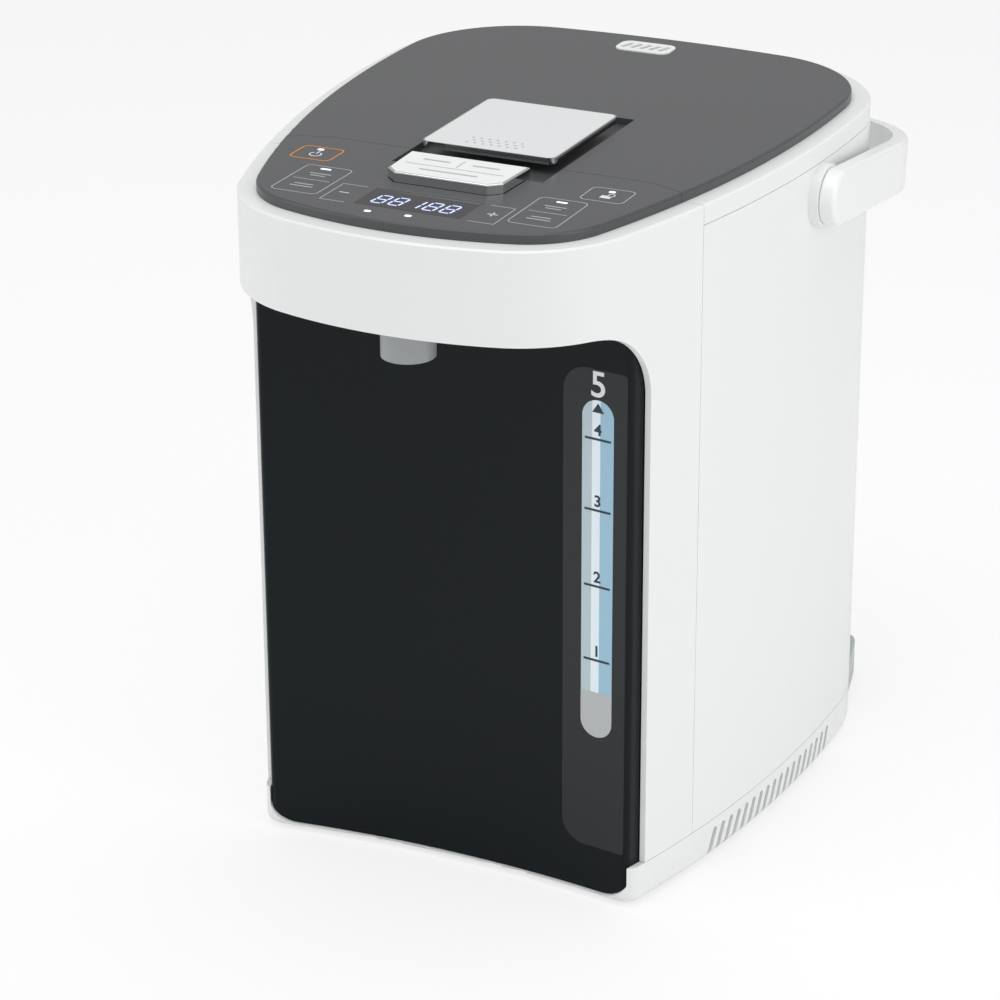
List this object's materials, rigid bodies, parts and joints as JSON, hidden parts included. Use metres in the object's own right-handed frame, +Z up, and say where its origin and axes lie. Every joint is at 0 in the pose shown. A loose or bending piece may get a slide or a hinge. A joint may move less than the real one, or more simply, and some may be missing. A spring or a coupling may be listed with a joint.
{
  "type": "electric thermo pot",
  "caption": "Electric thermo pot with a hinged lid on a sprung release plate, a swinging bail handle, a press key, a front spout, a level gauge and a pumped water path.",
  "frame": {"origin": "on the floor, on the upright axis of the round inner pot", "axes": "+X to the pot's left-hand side seen from behind, which is the right in a front view; +Y to the rear, the spout points to -Y; +Z up"},
  "size_m": [0.2692, 0.3449, 0.3396],
  "materials": {
    "black_panel": "gloss",
    "board_green": "matte",
    "brass_pins": "satin",
    "clear_tube": "gloss",
    "dark_lid_plastic": "gloss",
    "display_black": "gloss",
    "gauge_white": "matte",
    "grey_plastic": "matte",
    "grey_spout": "gloss",
    "heater_metal": "satin",
    "hose_silicone": "matte",
    "motor_metal": "brushed",
    "plate_chrome": "polished",
    "rear_grey": "gloss",
    "rubber_grey": "matte",
    "seal_silicone": "matte",
    "smoked_lens": "gloss",
    "steel": "brushed",
    "white_plastic": "gloss"
  },
  "bodies": {
    "pot": {"front_shell": "white_plastic", "side_rear_cover": "white_plastic", "base_ring": "white_plastic", "bottom_plate": "grey_plastic", "rubber_feet": "rubber_grey", "rear_bumper": "rear_grey", "inlet_housing": "grey_plastic", "inlet_pins": "brass_pins", "front_panel": "black_panel", "gauge_lens": "smoked_lens", "gauge_scale": "gauge_white", "sight_tube": "clear_tube", "gauge_brackets": "grey_plastic", "level_hose": "hose_silicone", "inner_pot": "steel", "top_ring": "grey_plastic", "heater": "heater_metal", "pump_housing": "grey_plastic", "pump_motor": "motor_metal", "outlet_pipe": "hose_silicone", "spout": "grey_spout", "control_fascia": "dark_lid_plastic", "display_window": "display_black", "display_board": "board_green", "board_posts": "grey_plastic", "key_switch": "grey_plastic", "key_guide": "grey_plastic", "key_spring": "steel", "power_board": "board_green", "power_posts": "grey_plastic", "pot_legs": "grey_plastic", "base_screws": "steel", "hinge_pin": "steel", "handle_pins": "grey_plastic"},
    "lid": {"lid_shell": "white_plastic", "lid_top": "dark_lid_plastic", "steam_vent": "white_plastic", "inner_lid": "steel", "lid_gasket": "seal_silicone", "release_pin": "steel", "release_bearings": "grey_plastic", "bolt_guide": "grey_plastic"},
    "handle": {"handle_bail": "white_plastic"},
    "release": {"release_plate": "plate_chrome"},
    "bolt": {"latch_bolt": "grey_plastic"},
    "key": {"dispense_key": "white_plastic"},
    "impeller": {"pump_impeller": "grey_plastic"}
  },
  "joints": [
    {"name": "lid_hinge", "type": "hinge", "parent": "pot", "child": "lid", "pos_m": [0, 0.118, 0.325], "axis": [-1, 0, 0], "range_deg": [0, 85]},
    {"name": "handle_swing", "type": "hinge", "parent": "pot", "child": "handle", "pos_m": [0, -0.009, 0.305], "axis": [1, 0, 0], "range_deg": [0, 97]},
    {"name": "release_lift", "type": "hinge", "parent": "lid", "child": "release", "pos_m": [0, -0.0425, 0.317], "axis": [-1, 0, 0], "range_deg": [0, 18], "stiffness_Nm_per_rad": 0.3},
    {"name": "bolt_slide", "type": "slide", "parent": "lid", "child": "bolt", "axis": [0, 1, 0], "range_m": [0, 0.00275]},
    {"name": "key_press", "type": "slide", "parent": "pot", "child": "key", "axis": [0, 0, -1], "range_m": [0, 0.0025], "stiffness_N_per_m": 600, "deforming": ["key_spring"]},
    {"name": "pump_spin", "type": "hinge", "parent": "pot", "child": "impeller", "pos_m": [0.034, -0.042, 0.056], "axis": [0, 0, 1], "continuous": true}
  ],
  "couplings": [
    {"joint": "bolt_slide", "follows": "release_lift", "m_per_rad": 0.0086}
  ]
}
